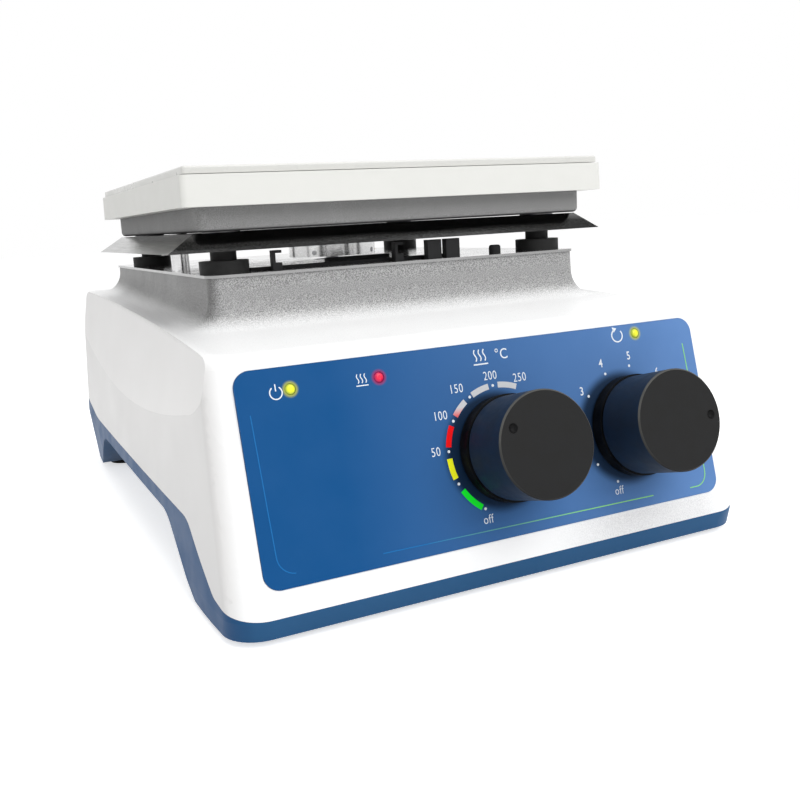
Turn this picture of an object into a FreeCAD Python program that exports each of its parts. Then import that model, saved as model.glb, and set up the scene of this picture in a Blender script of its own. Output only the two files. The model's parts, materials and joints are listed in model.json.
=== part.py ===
# Hotplate magnetic stirrer with a square plate on a turret and a sloping control panel.
# Millimetres, +Z up, floor at z = 0, front towards -Y, middle of the width at x = 0.
# Depths (y) are counted from the stirring axis, and the finished pieces are shifted by axis_y at the end.
import FreeCAD, Part
import math
import os

V = FreeCAD.Vector
os.makedirs("parts", exist_ok=True)

# Frame, and how far cutting blocks reach past the part
axis_y = 13.86
far = 160.0
clear = 40.0
edge_room = 2.0
least_corner = 2.0

# Hot plate and what hangs under it
plate_side = 150.0
plate_top_z = 124.2
plate_lip = 2.3
plate_inset = 1.3
plate_spigot = 3.8
plate_corner = 2.0
plate_edge_round = 0.7
joint_line = 0.25
skirt_height = 9.25
skirt_wall = 2.2
skirt_flare = 0.25
skirt_ledge = 2.1
pan_side = 139.0
pan_sheet = 1.0
pan_bottom_z = 105.0
pan_corner = 3.0
pan_bend = 1.6
pan_lip = 0.8
element_thick = 1.4
element_width = 5.0
element_pitch = 11.5
element_rows = 11
card_thick = 1.0
card_corner = 2.0
element_margin = 9.0
seat_gap = 0.05
side_gap = 0.3

# Spill tray of bright sheet
tray_sheet = 0.6
tray_half_x = 70.1
tray_half_y = 64.5
tray_drop = 5.7
tray_flare_x = 8.9
tray_flare_y = 3.2
tray_past = 1.5
washer_thick = 0.3
washer_r = 6.0

# Spacers and the screws through them
spacer_x = 59.2
spacer_front_y = -56.4
spacer_rear_y = 59.9
spacer_foot_r = 7.85
spacer_foot = 4.0
spacer_neck_r = 4.15
plate_screw_r = 2.0
screw_clearance = 0.2
screw_head_r = 3.6
screw_head = 2.4
plate_nut_r = 4.0
plate_nut = 3.2
screw_past_nut = 0.8
nut_room = 1.0

# Turret and its deck
deck_z = 92.0
deck_sheet = 0.9
deck_half = 67.9
deck_front_y = -69.3
deck_rear_y = 101.2
deck_corner = 5.0
deck_lip = 0.6
deck_hole_r = 7.5
neck_draft = 1.6
neck_wall = 2.4
neck_fillet = 9.0
neck_root_z = 66.0

# Small pieces on the deck
probe_r = 3.1
probe_x = -63.0
probe_y = -12.0
probe_stem = 5.0
post_width = 5.2
post_depth = 3.0
post_height = 6.4
post_x = 11.3
post_pitch = 7.1
post_y = -64.5
nub_r = 2.05
nub_height = 3.2
nub_round = 0.8
nub_x = 35.5
nub_y = -65.2
bar_length = 24.0
bar_width = 4.0
bar_height = 2.3
bar_end_round = 1.8
bar_x = -10.5
bar_y = -50.0
clip_width = 3.0
clip_length = 3.0
clip_left_x = -44.1
clip_right_x = -1.3
clip_y = -63.0
clip_foot = 2.4
clip_height = 6.3
clip_arm = 0.9
lead_thick = 1.1
lead_width = 2.6
lead_start_x = -51.0
lead_end_x = 24.0
lead_y = -57.0

# Housing shell
front_floor_y = -134.6
panel_tilt = 14.6
rear_y = 118.0
belt_z = 25.4
belt_half = 86.9
side_draft = 3.5
side_bow_front = 1.0
side_bow_rear = 0.1
bow_middle_y = 8.0
blend_start_y = -95.0
blend_radius = 350.0
front_corner = 10.5
rear_corner = 9.0
wall = 2.6
top_front_z = 73.4
top_middle_z = 77.8
top_rear_z = 80.8
top_end_y = 118.0
top_fillet = 4.6
loft_top_z = 96.0

# Scooped facet on each side
facet_z = 47.0
facet_lean = 0.2
facet_middle_cut = 1.3
facet_front_cut = 0.4
facet_rear_cut = -1.4
facet_end_y = 138.0
facet_run_out = 12.0

# Parting line between the two housing halves
parting_front_z = 7.3
parting_foot_z = 10.3
parting_foot_y = -116.0
parting_knee_y = -91.0
parting_rise_y = 80.0
parting_rear_z = 31.5
parting_knee_round = 15.0
parting_rise_round = 90.0
parting_foot_round = 8.0
parting_gap = 0.1

# Base with its feet
floor_gap = 2.0
base_front_y = -131.3
base_proud = 1.0
base_side_flare = 0.6
base_bow_rear = 2.9
base_rear_y = 113.5
base_rear_flare = 0.13
base_flare_z = 7.3
base_top_z = 40.0
arch_z = 20.6
arch_slope = 31.0
arch_round = 22.0
foot_round = 4.0
front_foot_y = -95.0
rear_foot_y = 90.0
rear_foot_width = 42.9
rear_notch_y = 40.0
floor_thick = 2.5
lip_height = 2.0
lip_thick = 1.2
lip_gap = 0.15
pad_r = 7.0
pad_thick = 2.6
pad_inset = 12.9
pad_front_y = -112.0
pad_rear_y = 98.5
vent_count = 9
vent_width = 3.0
vent_length = 24.0
vent_pitch = 8.0

# Housing screws
boss_r = 4.6
boss_meet_z = 12.0
boss_front_inset = 14.9
boss_front_y = -101.0
boss_rear_inset = 31.9
boss_rear_y = 104.0
boss_high_z = 84.0
case_screw_r = 1.6
case_screw_top = 34.0
case_head_r = 3.4
case_head = 2.2
case_bore = 3.4

# Sloping control panel
panel_z = 42.0
panel_margin = 10.8
panel_length = 56.8
panel_corner = 4.5
panel_thick = 1.0
panel_proud = 0.3
panel_gap = 0.1

# Knobs and what they turn
heat_x = 0.6
stir_inset = 29.4
knob_up = -3.1
knob_r = 15.05
knob_front = 22.0
knob_skirt_r = 15.6
knob_skirt = 3.9
knob_groove = 0.4
knob_air = 0.7
knob_wall = 2.0
knob_cap = 2.4
knob_hub_rise = 2.6
knob_hub_r = 6.2
knob_chamfer = 0.45
dimple_r = 1.5
dimple_depth = 1.0
dimple_reach = 11.5
heat_pointer = 300.0
stir_pointer = 90.0
shaft_r = 3.0
shaft_reach = 17.0
shaft_flat = 2.2
shaft_flat_start = 4.0
running_gap = 0.05
bush_r = 4.4
bush_front = 3.0
bush_hole_gap = 0.2
pot_nut_r = 6.9
pot_nut = 2.0
pot_r = 11.5
pot_depth = 10.0
pot_bore = 7.0
pot_bore_end = 0.4
board_thick = 1.6
board_inset = 12.1
board_low = -19.0
board_high = 26.0

# Indicator lamps
lamp_r = 1.5
lamp_proud = 0.5
power_lamp_inset = 14.9
hot_lamp_inset = 40.5
lamp_up = 22.3
stir_lamp_inset = 22.5
stir_lamp_up = 25.3
lamp_edge = 1.0

# Stirring drive
motor_r = 26.0
motor_wall = 1.6
motor_low_z = 46.0
motor_high_z = 80.0
motor_cap = 2.0
bearing_r = 8.0
bearing_height = 5.0
bearing_boss = 2.0
drive_r = 2.5
drive_low_z = 44.6
stator_bore = 14.5
stator_low_z = 53.5
stator_high_z = 72.5
stator_slots = 6
stator_slot = 4.0
stator_slot_r = 21.5
rotor_air = 0.5
pillar_r = 3.0
pillar_reach = 19.5
carrier_r = 17.0
carrier_lift = 1.4
carrier_height = 8.8
carrier_hub_wall = 3.5
carrier_rim = 1.8
carrier_floor = 3.0
magnet_r = 5.2
magnet_reach = 10.4
magnet_height = 5.4
grub_r = 0.9
grub_count = 4
grub_length = 3.0
grub_proud = 0.2
magnet_cup_wall = 1.2
magnet_cup = 2.0
drive_recess = 1.0

# Power supply on the base
supply_left = -76.0
supply_right = 34.0
supply_front = -48.0
supply_rear = 46.0
supply_post = 4.0
supply_post_r = 3.0
supply_inset = 6.0
supply_screw_r = 1.3
supply_head_r = 2.4
supply_head = 1.8
supply_screw_end = 0.5
transformer_x = -55.0
transformer_y = 4.0
core_width = 30.0
core_length = 36.0
core_height = 26.0
coil_width = 38.0
coil_length = 24.0
coil_height = 17.0
relay_x = 14.0
relay_y = -36.0
relay_width = 20.0
relay_length = 12.0
relay_height = 14.0

# Mains inlet at the back
inlet_z = 54.0
inlet_x = -30.0
inlet_width = 27.0
inlet_height = 31.0
inlet_depth = 24.0
inlet_flange = 2.0
inlet_flange_edge = 2.2
inlet_flange_round = 2.0
inlet_gap = 0.1
socket_width = 24.2
socket_height = 16.6
socket_depth = 17.0
socket_drop = 5.9
socket_chamfer = 4.5
pin_width = 2.0
pin_height = 4.0
pin_length = 12.0
pin_pitch = 7.0
pin_stagger = 2.0
drawer_width = 19.4
drawer_height = 7.6
drawer_depth = 17.0
drawer_rise = 9.6
drawer_gap = 0.3
drawer_face = 1.4
drawer_face_edge = 0.8
drawer_grip = 0.5
drawer_lift = 0.3
drawer_floor = 1.2
drawer_end = 1.6
fuse_r = 2.5
fuse_length = 15.0
fuse_pitch = 6.2
fuse_room = 0.2

# Rod socket under the deck behind the plate
rod_x = 50.0
rod_y = 86.0
rod_bore_r = 4.25
rod_bore = 20.0
rod_wall = 3.4
rod_end = 3.0
rod_flange_r = 11.0
rod_flange = 2.0
rod_hole_gap = 0.15

# Values worked out from the dimensions above
plate_half = plate_side / 2
pan_half = pan_side / 2
deck_under_z = deck_z - deck_sheet
tray_under_z = pan_bottom_z - washer_thick - tray_sheet
tray_top_z = pan_bottom_z - washer_thick
skirt_top_z = plate_top_z - plate_lip - joint_line
skirt_low_z = skirt_top_z - skirt_height
pan_lip_z = skirt_low_z + skirt_ledge + seat_gap
spigot_z = skirt_top_z + joint_line - plate_spigot
element_z = spigot_z - seat_gap - element_thick
card_z = element_z - card_thick
base_inside_z = arch_z + floor_thick
supply_z = base_inside_z + supply_post
supply_top_z = supply_z + board_thick
tan_tilt = math.tan(math.radians(panel_tilt))
tan_side = math.tan(math.radians(side_draft))
base_half = belt_half + base_proud
pad_x = belt_half - pad_inset
rear_foot_gap = belt_half - rear_foot_width
spacer_spots = [(x, y) for x in (-spacer_x, spacer_x) for y in (spacer_front_y, spacer_rear_y)]
boss_spots = [(side * (belt_half - inset), y) for side in (-1, 1)
              for inset, y in ((boss_front_inset, boss_front_y), (boss_rear_inset, boss_rear_y))]
pad_spots = [(side * pad_x, y) for side in (-1, 1) for y in (pad_front_y, pad_rear_y)]
supply_spots = [(x, y) for x in (supply_left + supply_inset, supply_right - supply_inset)
                for y in (supply_front + supply_inset, supply_rear - supply_inset)]
panel_y = front_floor_y + panel_z * tan_tilt
panel_width = 2 * (belt_half - panel_margin)
stir_x = panel_width / 2 - stir_inset
power_lamp_x = power_lamp_inset - panel_width / 2
hot_lamp_x = hot_lamp_inset - panel_width / 2
stir_lamp_x = panel_width / 2 - stir_lamp_inset
board_half = panel_width / 2 - board_inset
panel_place = FreeCAD.Placement(V(0, panel_y, panel_z), FreeCAD.Rotation(V(1, 0, 0), 90 - panel_tilt))


# Basic shapes
def block(x0, x1, y0, y1, z0, z1):
    return Part.makeBox(x1 - x0, y1 - y0, z1 - z0, V(x0, y0, z0))


def post(r, z0, z1, x=0.0, y=0.0):
    return Part.makeCylinder(r, z1 - z0, V(x, y, z0))


def hexagon(r, z0, z1, x=0.0, y=0.0):
    corners = [V(x + r * math.cos(math.radians(60 * i)), y + r * math.sin(math.radians(60 * i)), z0)
               for i in range(7)]
    return Part.Face(Part.makePolygon(corners)).extrude(V(0, 0, z1 - z0))


def joined(shapes):
    result = shapes[0]
    for shape in shapes[1:]:
        result = result.fuse(shape)
    return result.removeSplitter()


def rounded_wire(corners, place):
    """Closed outline through (a, b, radius) corners, with place(a, b) giving the point in space."""
    stretches = []
    for i, (a, b, radius) in enumerate(corners):
        before = corners[i - 1]
        after = corners[(i + 1) % len(corners)]
        here = V(a, b, 0)
        if radius == 0:
            stretches.append((here,))
            continue
        back = (V(before[0], before[1], 0) - here).normalize()
        ahead = (V(after[0], after[1], 0) - here).normalize()
        half_angle = back.getAngle(ahead) / 2
        reach = radius / math.tan(half_angle)
        inward = (back + ahead).normalize()
        centre = here + inward * (radius / math.sin(half_angle))
        stretches.append((here + back * reach, centre - inward * radius, here + ahead * reach))
    edges = []
    for i, stretch in enumerate(stretches):
        points = [place(p.x, p.y) for p in stretch]
        if len(points) == 3:
            edges.append(Part.Arc(*points).toShape())
        following = stretches[(i + 1) % len(stretches)][0]
        edges.append(Part.makeLine(points[-1], place(following.x, following.y)))
    return Part.Wire(edges)


def rounded_rectangle(half_x, y0, y1, radius, z):
    corners = [(-half_x, y0, radius), (half_x, y0, radius), (half_x, y1, radius), (-half_x, y1, radius)]
    return rounded_wire(corners, lambda a, b: V(a, b, z))


def rounded_block(half_x, y0, y1, radius, z0, z1):
    return Part.Face(rounded_rectangle(half_x, y0, y1, radius, z0)).extrude(V(0, 0, z1 - z0))


def side_profile(corners, half_width=far):
    """Solid with a given outline in the Y-Z plane, running across the whole width."""
    outline = rounded_wire(corners, lambda a, b: V(-half_width, a, b))
    return Part.Face(outline).extrude(V(2 * half_width, 0, 0))


def on_panel(shape):
    """Place a shape drawn with its z axis along the panel's outward normal."""
    shape.Placement = panel_place.multiply(shape.Placement)
    return shape


def both_sides(shape):
    return [shape, shape.mirror(V(0, 0, 0), V(1, 0, 0))]


# Housing block shared by the two halves
def plan_outline(z, half, bow_front, bow_rear, front, rear, inset):
    """Plan outline at one height: bowed sides that blend into tight front corners."""
    corner = max(front_corner - inset, least_corner)
    tail = max(rear_corner - inset, least_corner)
    bend = blend_radius - inset
    turn = math.asin((blend_start_y - front - corner) / (bend - corner))
    start = V(-(half - bow_front), blend_start_y, z)
    middle = V(-half, bow_middle_y, z)
    end = V(-(half - bow_rear), rear - tail, z)
    bend_centre = start + V(bend, 0, 0)

    def off(centre, radius, angle):
        return centre + V(-math.cos(angle), -math.sin(angle), 0) * radius

    blend_end = off(bend_centre, bend, turn)
    corner_centre = blend_end - V(-math.cos(turn), -math.sin(turn), 0) * corner
    flat_start = off(corner_centre, corner, math.pi / 2)
    tail_centre = end + V(tail, 0, 0)
    left = [
        Part.Arc(flat_start, off(corner_centre, corner, (turn + math.pi / 2) / 2), blend_end),
        Part.Arc(blend_end, off(bend_centre, bend, turn / 2), start),
        Part.Arc(start, middle, end),
        Part.Arc(end, off(tail_centre, tail, -math.pi / 4), off(tail_centre, tail, -math.pi / 2)),
    ]
    left_edges = [arc.toShape() for arc in left]
    right_edges = [edge.mirror(V(0, 0, 0), V(1, 0, 0)) for edge in reversed(left_edges)]
    tail_end = off(tail_centre, tail, -math.pi / 2)
    rear_line = Part.makeLine(tail_end, V(-tail_end.x, tail_end.y, z))
    front_line = Part.makeLine(V(-flat_start.x, flat_start.y, z), flat_start)
    return Part.Wire(left_edges + [rear_line] + right_edges + [front_line])


def body_outline(z, inset):
    half = belt_half - tan_side * (z - belt_z) - inset
    front = front_floor_y + z * tan_tilt + inset / math.cos(math.radians(panel_tilt))
    return plan_outline(z, half, side_bow_front, side_bow_rear, front, rear_y - inset, inset)


def top_slab(inset):
    """Everything below the crowned top surface."""
    crown = Part.Arc(V(0, -top_end_y, top_front_z - inset), V(0, 0, top_middle_z - inset),
                     V(0, top_end_y, top_rear_z - inset)).toShape()
    ends = [V(0, top_end_y, top_rear_z - inset), V(0, far, top_rear_z - inset), V(0, far, -clear),
            V(0, -far, -clear), V(0, -far, top_front_z - inset), V(0, -top_end_y, top_front_z - inset)]
    outline = Part.Wire([crown] + Part.makePolygon(ends).Edges)
    slab = Part.Face(outline).extrude(V(2 * far, 0, 0))
    slab.translate(V(-far, 0, 0))
    return slab


def body_block(inset):
    walls = Part.makeLoft([body_outline(-1.0, inset), body_outline(loft_top_z, inset)], True, True)
    return walls.common(top_slab(inset))


def is_top_edge(edge):
    return all(vertex.Z > top_front_z - edge_room for vertex in edge.Vertexes)


def rounded_body():
    solid = body_block(0.0)
    return solid.makeFillet(top_fillet, [edge for edge in solid.Edges if is_top_edge(edge)])


def neck_block(inset, top_z, low_z):
    """The turret under the deck, a little wider towards its foot."""
    spread = math.tan(math.radians(neck_draft))

    def outline(z):
        grow = (deck_under_z - z) * spread - inset - deck_lip
        corner = max(deck_corner - deck_lip - inset, least_corner)
        return rounded_rectangle(deck_half + grow, deck_front_y - grow, deck_rear_y + grow, corner, z)

    return Part.makeLoft([outline(low_z), outline(top_z)], True, True)


def is_neck_foot(edge):
    return all(abs(v.X) < deck_half + edge_room
               and deck_front_y - edge_room < v.Y < deck_rear_y + edge_room
               and top_front_z - edge_room < v.Z < top_rear_z + edge_room for v in edge.Vertexes)


def side_scoop(inward=0.0):
    """Cutter for the left facet: a shallow arc in plan that leans inward towards the top."""
    rise = loft_top_z - facet_z
    low = facet_run_out
    shift = V(inward - facet_lean * low, 0, -low)
    front = V(facet_front_cut - belt_half, -facet_end_y, facet_z) + shift
    middle = V(facet_middle_cut - belt_half, 0, facet_z) + shift
    rear = V(facet_rear_cut - belt_half, facet_end_y, facet_z) + shift
    arc = Part.Arc(front, middle, rear).toShape()
    sides = Part.makePolygon([rear, rear - V(clear, 0, 0), front - V(clear, 0, 0), front])
    outline = Part.Wire([arc] + sides.Edges)
    return Part.Face(outline).extrude(V(facet_lean * (rise + low), 0, rise + low))


def hollow_body():
    """The space inside the shell, which keeps its wall behind the facets."""
    inside = body_block(wall)
    for scoop in both_sides(side_scoop(wall)):
        inside = inside.cut(scoop)
    return inside


def below_parting(shift):
    """Everything below the line where the two housing halves meet, moved up by shift."""
    level = belt_z + shift
    front_slope = (parting_foot_z - parting_front_z) / (parting_foot_y - front_floor_y)
    rear_slope = (parting_rear_z - belt_z) / (rear_y - parting_rise_y)
    front_z = parting_foot_z + shift - front_slope * (parting_foot_y + far)
    rear_z = level + rear_slope * (far - parting_rise_y)
    corners = [
        (-far, -clear, 0), (far, -clear, 0), (far, rear_z, 0),
        (parting_rise_y, level, parting_rise_round), (parting_knee_y, level, parting_knee_round),
        (parting_foot_y, parting_foot_z + shift, parting_foot_round), (-far, front_z, 0),
    ]
    return side_profile(corners)


def case_bosses(z0, z1):
    return [post(boss_r, z0, z1, x, y) for x, y in boss_spots]


def upper_housing():
    outer = rounded_body().fuse(neck_block(0.0, deck_under_z, neck_root_z)).removeSplitter()
    outer = outer.makeFillet(neck_fillet, [edge for edge in outer.Edges if is_neck_foot(edge)])
    for scoop in both_sides(side_scoop()):
        outer = outer.cut(scoop)
    inside = hollow_body().fuse(neck_block(neck_wall, deck_z, neck_root_z))
    columns = joined([boss.common(body_block(wall / 2)) for boss in case_bosses(boss_meet_z, boss_high_z)])
    shell = outer.cut(inside).cut(below_parting(parting_gap)).fuse(columns)
    for x, y in boss_spots:
        shell = shell.cut(post(case_screw_r, boss_meet_z - 1, case_screw_top + 1, x, y))
    half_length = panel_length / 2 + panel_gap
    pocket = rounded_block(panel_width / 2 + panel_gap, -half_length, half_length, panel_corner + panel_gap,
                           panel_proud - panel_thick, clear)
    shell = shell.cut(on_panel(pocket))
    for x in (heat_x, stir_x):
        shell = shell.cut(on_panel(post(bush_r + bush_hole_gap, -2 * wall, clear, x, knob_up)))
    for x, up in lamp_spots():
        shell = shell.cut(on_panel(post(lamp_r + running_gap, -2 * wall, clear, x, up)))
    half_w = inlet_width / 2
    half_h = inlet_height / 2
    shell = shell.cut(block(inlet_x - half_w, inlet_x + half_w, rear_y - 2 * wall, rear_y + clear,
                            inlet_z - half_h, inlet_z + half_h))
    return shell.removeSplitter()


# Base half of the housing
def base_block(inset):
    """The base tapers towards the floor at the front and at the back."""
    rise = base_top_z - floor_gap
    front_lean = (base_front_y - front_floor_y - base_flare_z * tan_tilt) / (base_flare_z - floor_gap)
    front = base_front_y + inset / math.cos(math.radians(panel_tilt))
    rear = base_rear_y - inset
    low = plan_outline(floor_gap, base_half - inset, side_bow_front, base_bow_rear, front, rear, inset)
    high = plan_outline(base_top_z, base_half + base_side_flare - inset, side_bow_front, side_bow_rear,
                        front - front_lean * rise, rear + base_rear_flare * rise, inset)
    return Part.makeLoft([low, high], True, True)


def arch_profile(lift):
    """The arch between the feet: the underside when lift is 0, and the inside floor above it otherwise."""
    run = (arch_z - floor_gap) / math.tan(math.radians(arch_slope))
    top = arch_z + lift
    low = floor_gap + lift
    widen = lift * math.tan(math.radians(arch_slope / 2))
    return [
        (front_foot_y - widen, low, foot_round), (front_foot_y - widen + run, top, arch_round),
        (rear_foot_y + widen - run, top, arch_round), (rear_foot_y + widen, low, foot_round),
    ]


def underside():
    corners = [(-far, -clear, 0), (-far, floor_gap, 0)] + arch_profile(0.0)
    return side_profile(corners + [(far, floor_gap, 0), (far, -clear, 0)])


def inside_floor():
    level = floor_gap + floor_thick
    corners = [(-far, -clear, 0), (-far, level, 0)] + arch_profile(floor_thick)
    return side_profile(corners + [(far, level, 0), (far, -clear, 0)])


def rear_notch(grow):
    """The gap between the two rear feet."""
    top = arch_z + grow
    outline = [(rear_notch_y, -clear, 0), (far, -clear, 0), (far, top, 0), (rear_notch_y, top, 0)]
    return side_profile(outline, rear_foot_gap + grow)


def alignment_lip():
    """Upstand inside the wall that the upper half slips over, with its root in the wall."""
    core = body_block(wall + lip_gap + lip_thick)
    low = below_parting(-lip_height)
    upstand = body_block(wall + lip_gap).cut(core).common(below_parting(lip_height).cut(low))
    root = body_block(wall / 2).cut(core).common(below_parting(-lip_gap).cut(low))
    return upstand.fuse(root)


def lower_housing():
    outside = body_block(0.0).common(base_block(0.0))
    outer = outside.cut(underside()).cut(rear_notch(0.0)).common(below_parting(0.0))
    inside = body_block(wall).common(base_block(wall)).cut(inside_floor()).cut(rear_notch(floor_thick))
    shell = outer.cut(inside)
    lip = alignment_lip().common(base_block(wall / 2))
    low_bosses = [boss.common(outside) for boss in case_bosses(floor_gap, boss_meet_z - parting_gap)]
    shell = joined([shell, lip] + low_bosses + supply_posts())
    for x, y in boss_spots:
        shell = shell.cut(post(case_screw_r + screw_clearance, -1, boss_meet_z + 1, x, y))
        shell = shell.cut(post(case_head_r + screw_clearance, -1, floor_gap + case_bore, x, y))
    for x, y in pad_spots:
        shell = shell.cut(post(pad_r, -1, pad_thick, x, y))
    for x, y in supply_spots:
        shell = shell.cut(post(supply_screw_r, base_inside_z, supply_z + 1, x, y))
    for slot in vent_slots():
        shell = shell.cut(slot)
    return shell.removeSplitter()


def supply_posts():
    return [post(supply_post_r, arch_z + 1, supply_z, x, y) for x, y in supply_spots]


def vent_slots():
    slots = []
    first = -vent_pitch * (vent_count - 1) / 2
    for i in range(vent_count):
        x = first + i * vent_pitch
        slots.append(block(x - vent_width / 2, x + vent_width / 2, -vent_length / 2, vent_length / 2,
                           arch_z - 1, base_inside_z + 1))
    return slots


def foot_pads():
    return [post(pad_r, 0.0, pad_thick, x, y) for x, y in pad_spots]


def housing_screws():
    screws = []
    head_z = floor_gap + case_bore - case_head
    for x, y in boss_spots:
        head = post(case_head_r, head_z, head_z + case_head, x, y)
        screws.append(joined([head, post(case_screw_r, head_z + 1, case_screw_top, x, y)]))
    return screws


# Control panel, lamps and knobs
def lamp_spots():
    return [(power_lamp_x, lamp_up), (hot_lamp_x, lamp_up), (stir_lamp_x, stir_lamp_up)]


def control_panel():
    sheet = rounded_block(panel_width / 2, -panel_length / 2, panel_length / 2, panel_corner,
                          panel_proud - panel_thick, panel_proud)
    for x in (heat_x, stir_x):
        sheet = sheet.cut(post(bush_r + bush_hole_gap, -clear, clear, x, knob_up))
    for x, up in lamp_spots():
        sheet = sheet.cut(post(lamp_r + running_gap, -clear, clear, x, up))
    return on_panel(sheet)


def board_front():
    return -wall - seat_gap - pot_depth


def lamp(x, up):
    """A light pipe from the board to the panel, with a domed end."""
    top = panel_proud + lamp_proud
    pipe = post(lamp_r, board_front(), top, x, up)
    rim = [edge for edge in pipe.Edges if edge.BoundBox.ZMin > top - 0.01]
    return on_panel(pipe.makeFillet(lamp_edge, rim))


def knob(x, pointer):
    """Hollow knob with a straight rim, a plain skirt and a dimple that shows where it points."""
    low = panel_proud + knob_air
    skirt_end = low + knob_skirt
    rim_low = skirt_end + knob_groove
    rim = post(knob_r, rim_low, knob_front)
    rim = rim.makeChamfer(knob_chamfer, [edge for edge in rim.Edges
                                         if abs(edge.BoundBox.ZMin - knob_front) < 0.01])
    outer = joined([rim, post(knob_skirt_r, low, skirt_end), post(knob_r - knob_groove, low, knob_front - 2)])
    hollow = post(knob_r - knob_wall, low - 1, knob_front - knob_cap)
    hub = post(knob_hub_r, low + knob_hub_rise, knob_front - knob_cap)
    solid = outer.cut(hollow.cut(hub))
    bore = post(shaft_r, low - 1, shaft_reach + seat_gap)
    solid = solid.cut(bore.cut(shaft_flat_cutter()))
    dimple = Part.makeSphere(dimple_r, V(0, dimple_reach, knob_front + dimple_r - dimple_depth))
    solid = solid.cut(dimple)
    return turned(solid, x, pointer)


def shaft_flat_cutter():
    return block(-shaft_r, shaft_r, shaft_flat, shaft_r + 1, shaft_flat_start, shaft_reach + 1)


def turned(shape, x, pointer):
    shape.Placement = FreeCAD.Placement(V(x, knob_up, 0), FreeCAD.Rotation(V(0, 0, 1), -pointer))
    return on_panel(shape)


def control_shaft(x, pointer):
    low = board_front() + pot_depth - pot_bore
    shaft = post(shaft_r, low, shaft_reach)
    return turned(shaft.cut(shaft_flat_cutter()), x, pointer)


def potentiometer(x):
    """Round control body behind the panel, with the bush that its shaft turns in."""
    back = board_front()
    can = post(pot_r, back, back + pot_depth, x, knob_up)
    bush = post(bush_r, back + pot_depth - 1, bush_front, x, knob_up)
    bore = post(shaft_r + running_gap, back + pot_depth - pot_bore - pot_bore_end, bush_front + 1, x, knob_up)
    return on_panel(joined([can, bush]).cut(bore))


def pot_nuts():
    nuts = []
    for x in (heat_x, stir_x):
        nut = hexagon(pot_nut_r, panel_proud, panel_proud + pot_nut, x, knob_up)
        nuts.append(on_panel(nut.cut(post(bush_r, -clear, clear, x, knob_up))))
    return nuts


def control_board():
    z1 = board_front()
    return on_panel(block(-board_half, board_half, board_low, board_high, z1 - board_thick, z1))


# Stirring drive on the vertical axis
def motor_can():
    body = post(motor_r, motor_low_z, motor_high_z)
    body = body.cut(post(motor_r - motor_wall, motor_low_z + motor_cap, motor_high_z - motor_cap))
    seats = [post(bearing_r + bearing_boss, motor_low_z, motor_low_z + bearing_height),
             post(bearing_r + bearing_boss, motor_high_z - bearing_height, motor_high_z)]
    body = joined([body] + seats)
    for z0 in (motor_low_z, motor_high_z - bearing_height):
        body = body.cut(post(bearing_r, z0 - 1, z0 + bearing_height + 1))
    return body


def shaft_bearings():
    bore = post(drive_r + running_gap, motor_low_z - 1, motor_high_z + 1)
    return [post(bearing_r, z0, z0 + bearing_height).cut(bore)
            for z0 in (motor_low_z, motor_high_z - bearing_height)]


def motor_stator():
    ring = post(motor_r - motor_wall, stator_low_z, stator_high_z).cut(
        post(stator_bore, stator_low_z - 1, stator_high_z + 1))
    for i in range(stator_slots):
        slot = block(-stator_slot / 2, stator_slot / 2, stator_bore - 2, stator_slot_r,
                     stator_low_z - 1, stator_high_z + 1)
        slot.rotate(V(0, 0, 0), V(0, 0, 1), 360 / stator_slots * (i + 0.5))
        ring = ring.cut(slot)
    return ring


def motor_rotor():
    return post(stator_bore - rotor_air, stator_low_z + 1, stator_high_z - 1).cut(
        post(drive_r, stator_low_z, stator_high_z))


def carrier_low_z():
    return deck_z + carrier_lift


def carrier_top_z():
    return carrier_low_z() + carrier_height


def motor_shaft():
    return post(drive_r, drive_low_z, carrier_top_z() - drive_recess)


def motor_pillars():
    pillars = []
    for i in range(4):
        angle = math.radians(45 + 90 * i)
        pillars.append(post(pillar_r, motor_high_z, deck_under_z,
                            pillar_reach * math.cos(angle), pillar_reach * math.sin(angle)))
    return pillars


def magnet_spots():
    return [(-magnet_reach, 0.0), (magnet_reach, 0.0)]


def magnet_carrier():
    """Bright drum above the deck that holds the two drive magnets."""
    low = carrier_low_z()
    top = carrier_top_z()
    drum = post(carrier_r, low, top).cut(post(carrier_r - carrier_rim, low + carrier_floor, top + 1))
    hub = post(drive_r + carrier_hub_wall, low, top)
    cups = [post(magnet_r + magnet_cup_wall, low, low + carrier_floor + magnet_cup, x, y)
            for x, y in magnet_spots()]
    drum = joined([drum, hub] + cups)
    drum = drum.cut(post(drive_r, low - 1, top - drive_recess))
    for x, y in magnet_spots():
        drum = drum.cut(post(magnet_r, low + carrier_floor, top + 1, x, y))
    for screw in grub_screws():
        drum = drum.cut(screw)
    return drum.removeSplitter()


def drive_magnets():
    z0 = carrier_low_z() + carrier_floor
    return [post(magnet_r, z0, z0 + magnet_height, x, y) for x, y in magnet_spots()]


def grub_screws():
    screws = []
    inner_end = carrier_r + grub_proud - grub_length
    for i in range(grub_count):
        screw = Part.makeCylinder(grub_r, grub_length, V(inner_end, 0, 0), V(1, 0, 0))
        screw.rotate(V(0, 0, 0), V(0, 0, 1), 45 + 360 / grub_count * i)
        screw.translate(V(0, 0, carrier_low_z() + carrier_floor / 2))
        screws.append(screw)
    return screws


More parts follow.
